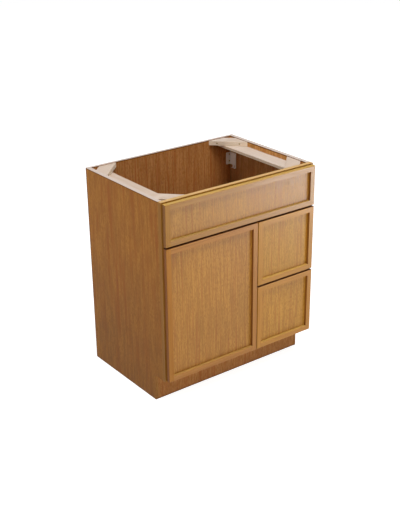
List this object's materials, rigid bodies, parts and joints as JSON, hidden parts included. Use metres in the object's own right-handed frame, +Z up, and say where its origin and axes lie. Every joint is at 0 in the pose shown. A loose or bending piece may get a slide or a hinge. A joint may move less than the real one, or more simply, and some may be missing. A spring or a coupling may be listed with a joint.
{
  "type": "vanity base cabinet",
  "caption": "Open-topped vanity base cabinet with a false front, a hinged door and two drawers over a recessed toe kick.",
  "frame": {"origin": "on the floor, in the middle of the outer box", "axes": "+X to the cabinet's right as seen from the front, +Y to the back, so the fronts face -Y, +Z up"},
  "size_m": [0.762, 0.554, 0.8763],
  "materials": {
    "front_wood": "satin stain, vertical grain",
    "frame_wood": "satin stain",
    "stained_side": "satin stained plywood",
    "kick_wood": "satin stained plywood",
    "case_interior": "satin stained plywood",
    "bare_ply": "bare plywood",
    "box_wood": "clear coat",
    "runner_steel": "zinc plated",
    "hinge_steel": "nickel plated",
    "screw_steel": "zinc plated",
    "bracket_plastic": "pale grey",
    "bumper_rubber": "clear"
  },
  "bodies": {
    "cabinet": {"back_panel": "case_interior", "bumpers": "bumper_rubber", "case_runners": "runner_steel", "case_screws": "screw_steel", "corner_braces": "bare_ply", "false_front_panel": "front_wood", "false_front_rail_bottom": "front_wood", "false_front_rail_top": "front_wood", "false_front_stile_left": "front_wood", "false_front_stile_right": "front_wood", "floor_panel": "case_interior", "hinge_arms": "hinge_steel", "kick_board": "kick_wood", "rail_bottom": "frame_wood", "rail_drawer": "frame_wood", "rail_middle": "frame_wood", "rail_top": "frame_wood", "rear_brackets": "bracket_plastic", "side_left": "stained_side", "side_right": "stained_side", "stile_centre": "frame_wood", "stile_left": "frame_wood", "stile_right": "frame_wood", "stringer_left": "bare_ply", "stringer_right": "bare_ply"},
    "door": {"door_panel": "front_wood", "door_rail_bottom": "front_wood", "door_rail_top": "front_wood", "door_stile_left": "front_wood", "door_stile_right": "front_wood", "hinge_cups": "hinge_steel"},
    "hinge_links": {"hinge_links": "hinge_steel"},
    "drawer_1_middle": {"drawer_1_middle_runners": "runner_steel"},
    "drawer_1": {"drawer_1_back": "box_wood", "drawer_1_bottom": "box_wood", "drawer_1_front": "box_wood", "drawer_1_front_panel": "front_wood", "drawer_1_front_rail_bottom": "front_wood", "drawer_1_front_rail_top": "front_wood", "drawer_1_front_stile_left": "front_wood", "drawer_1_front_stile_right": "front_wood", "drawer_1_runners": "runner_steel", "drawer_1_screws": "screw_steel", "drawer_1_side_left": "box_wood", "drawer_1_side_right": "box_wood"},
    "drawer_2_middle": {"drawer_2_middle_runners": "runner_steel"},
    "drawer_2": {"drawer_2_back": "box_wood", "drawer_2_bottom": "box_wood", "drawer_2_front": "box_wood", "drawer_2_front_panel": "front_wood", "drawer_2_front_rail_bottom": "front_wood", "drawer_2_front_rail_top": "front_wood", "drawer_2_front_stile_left": "front_wood", "drawer_2_front_stile_right": "front_wood", "drawer_2_runners": "runner_steel", "drawer_2_screws": "screw_steel", "drawer_2_side_left": "box_wood", "drawer_2_side_right": "box_wood"}
  },
  "joints": [
    {"name": "door_hinge", "type": "hinge", "parent": "cabinet", "child": "door", "pos_m": [-0.3741, -0.27535, 0.4072], "axis": [0, 0, -1], "range_deg": [0, 105]},
    {"name": "link_pivot", "type": "hinge", "parent": "cabinet", "child": "hinge_links", "pos_m": [-0.34, -0.25945, 0.4072], "axis": [0, 0, 1], "range_deg": [0, 52.5]},
    {"name": "drawer_1_slide", "type": "slide", "parent": "cabinet", "child": "drawer_1", "axis": [0, -1, 0], "range_m": [0, 0.43]},
    {"name": "middle_1_slide", "type": "slide", "parent": "cabinet", "child": "drawer_1_middle", "axis": [0, -1, 0], "range_m": [0, 0.215]},
    {"name": "drawer_2_slide", "type": "slide", "parent": "cabinet", "child": "drawer_2", "axis": [0, -1, 0], "range_m": [0, 0.43]},
    {"name": "middle_2_slide", "type": "slide", "parent": "cabinet", "child": "drawer_2_middle", "axis": [0, -1, 0], "range_m": [0, 0.215]}
  ],
  "couplings": [
    {"joint": "link_pivot", "follows": "door_hinge", "ratio": 0.5},
    {"joint": "middle_1_slide", "follows": "drawer_1_slide", "ratio": 0.5},
    {"joint": "middle_2_slide", "follows": "drawer_2_slide", "ratio": 0.5}
  ]
}
